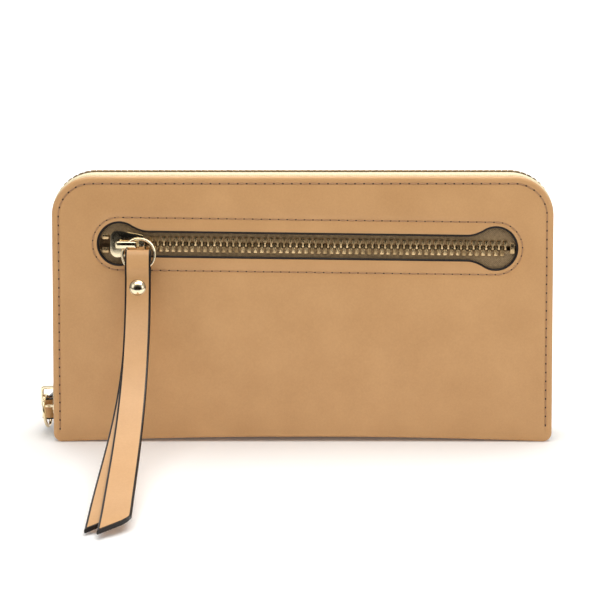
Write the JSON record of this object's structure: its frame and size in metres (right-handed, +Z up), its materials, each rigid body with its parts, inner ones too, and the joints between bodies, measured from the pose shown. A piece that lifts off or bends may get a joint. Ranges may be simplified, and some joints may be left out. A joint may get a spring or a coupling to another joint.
{
  "type": "zip-around long wallet",
  "caption": "Long zip-around leather wallet standing on its spine, with a zipped outer pocket, card slots, a coin page and riveted leather zip pulls.",
  "frame": {"origin": "middle of the spine's underside, the face the wallet stands on", "axes": "+Z up, -Y to the front cover with the zipped pocket, +X along the spine to the viewer's right"},
  "size_m": [0.2006, 0.2004, 0.1039],
  "materials": {
    "cover_leather": "satin, vegetable tanned, matt grain",
    "pull_leather": "satin, dark painted edges",
    "inner_leather": "satin",
    "stiffener_board": "matt",
    "lining_cloth": "matt weave",
    "cream_tape": "matt woven tape",
    "khaki_tape": "matt woven tape",
    "tooth_metal": "antique brass, satin",
    "pale_gold": "polished pale gold plating"
  },
  "bodies": {
    "back_half": {"spine_leather": "cover_leather", "spine_lining": "lining_cloth", "page_hinge_strip": "lining_cloth", "back_leather": "cover_leather", "back_board": "stiffener_board", "back_lining": "lining_cloth", "back_bill_panel": "inner_leather", "back_card_tier_1": "inner_leather", "back_card_tier_2": "inner_leather", "back_card_tier_3": "inner_leather", "gusset_left": "lining_cloth", "gusset_right": "lining_cloth", "main_tape_back": "cream_tape", "main_teeth_back": "tooth_metal", "main_stops_back": "tooth_metal"},
    "front_half": {"front_leather": "cover_leather", "front_board": "stiffener_board", "front_lining": "lining_cloth", "front_bill_panel": "inner_leather", "front_card_tier_1": "inner_leather", "front_card_tier_2": "inner_leather", "front_card_tier_3": "inner_leather", "main_tape_front": "cream_tape", "main_teeth_front": "tooth_metal", "main_stops_front": "tooth_metal", "pocket_tape_upper": "khaki_tape", "pocket_tape_lower": "khaki_tape", "pocket_teeth_upper": "tooth_metal", "pocket_teeth_lower": "tooth_metal", "pocket_top_stops": "tooth_metal", "pocket_end_stop": "tooth_metal", "pocket_bag_front": "lining_cloth", "pocket_bag_back": "lining_cloth"},
    "coin_page": {"coin_wall_front": "inner_leather", "coin_wall_back": "inner_leather", "coin_gusset": "lining_cloth", "coin_tape_front": "khaki_tape", "coin_tape_back": "khaki_tape", "coin_teeth_front": "tooth_metal", "coin_teeth_back": "tooth_metal", "coin_stops": "tooth_metal"},
    "coin_slider_body": {"coin_slider": "pale_gold"},
    "coin_tab_body": {"coin_tab": "pale_gold"},
    "pocket_slider_body": {"pocket_slider": "pale_gold"},
    "pocket_ring_body": {"pocket_ring": "pale_gold"},
    "pocket_pull_body": {"pocket_pull": "pull_leather", "pocket_rivet_cap": "pale_gold", "pocket_rivet_back": "pale_gold"},
    "main_slider_body": {"main_slider": "pale_gold"},
    "main_ring_body": {"main_ring": "pale_gold"},
    "main_pull_body": {"main_pull": "pull_leather", "main_rivet_cap": "pale_gold", "main_rivet_back": "pale_gold"}
  },
  "joints": [
    {"name": "front_open", "type": "hinge", "parent": "back_half", "child": "front_half", "pos_m": [0, -0.0135, 0], "axis": [1, 0, 0], "range_deg": [0, 60], "deforming": ["gusset_left", "gusset_right"]},
    {"name": "page_turn", "type": "hinge", "parent": "back_half", "child": "coin_page", "pos_m": [0, 0.0014, 0.0037], "axis": [1, 0, 0], "range_deg": [0, 30]},
    {"name": "main_zip_slide", "type": "slide", "parent": "back_half", "child": "main_slider_body", "axis": [0, 0, 1], "range_m": [0, 0.064]},
    {"name": "main_ring_swing", "type": "hinge", "parent": "main_slider_body", "child": "main_ring_body", "pos_m": [-0.1015, 0.0012, 0.0149], "axis": [0, 1, 0], "range_deg": [0, 70]},
    {"name": "main_pull_swing", "type": "hinge", "parent": "main_ring_body", "child": "main_pull_body", "pos_m": [-0.10086, 0.00615, 0.00883], "axis": [-0.1045, 0, 0.9945], "range_deg": [0, 21]},
    {"name": "pocket_zip_slide", "type": "slide", "parent": "front_half", "child": "pocket_slider_body", "axis": [0.9999, 0, -0.0131], "range_m": [0, 0.138]},
    {"name": "pocket_ring_swing", "type": "hinge", "parent": "pocket_slider_body", "child": "pocket_ring_body", "pos_m": [-0.0664, -0.01635, 0.0766], "axis": [-0.6388, -0.2882, -0.7134], "range_deg": [0, 60]},
    {"name": "pocket_pull_swing", "type": "hinge", "parent": "pocket_ring_body", "child": "pocket_pull_body", "pos_m": [-0.06171, -0.01966, 0.0684], "axis": [-0.9988, -0.0488, 0], "range_deg": [0, 24]},
    {"name": "coin_zip_slide", "type": "slide", "parent": "coin_page", "child": "coin_slider_body", "axis": [1, 0, 0], "range_m": [0, 0.149]},
    {"name": "coin_tab_swing", "type": "hinge", "parent": "coin_slider_body", "child": "coin_tab_body", "pos_m": [-0.0724, 0.0014, 0.08922], "axis": [0, -1, 0], "range_deg": [0, 140]}
  ],
  "couplings": [
    {"joint": "page_turn", "follows": "front_open", "ratio": 0.5},
    {"joint": "main_pull_swing", "follows": "main_ring_swing", "ratio": 0.3},
    {"joint": "pocket_pull_swing", "follows": "pocket_ring_swing", "ratio": 0.4}
  ]
}
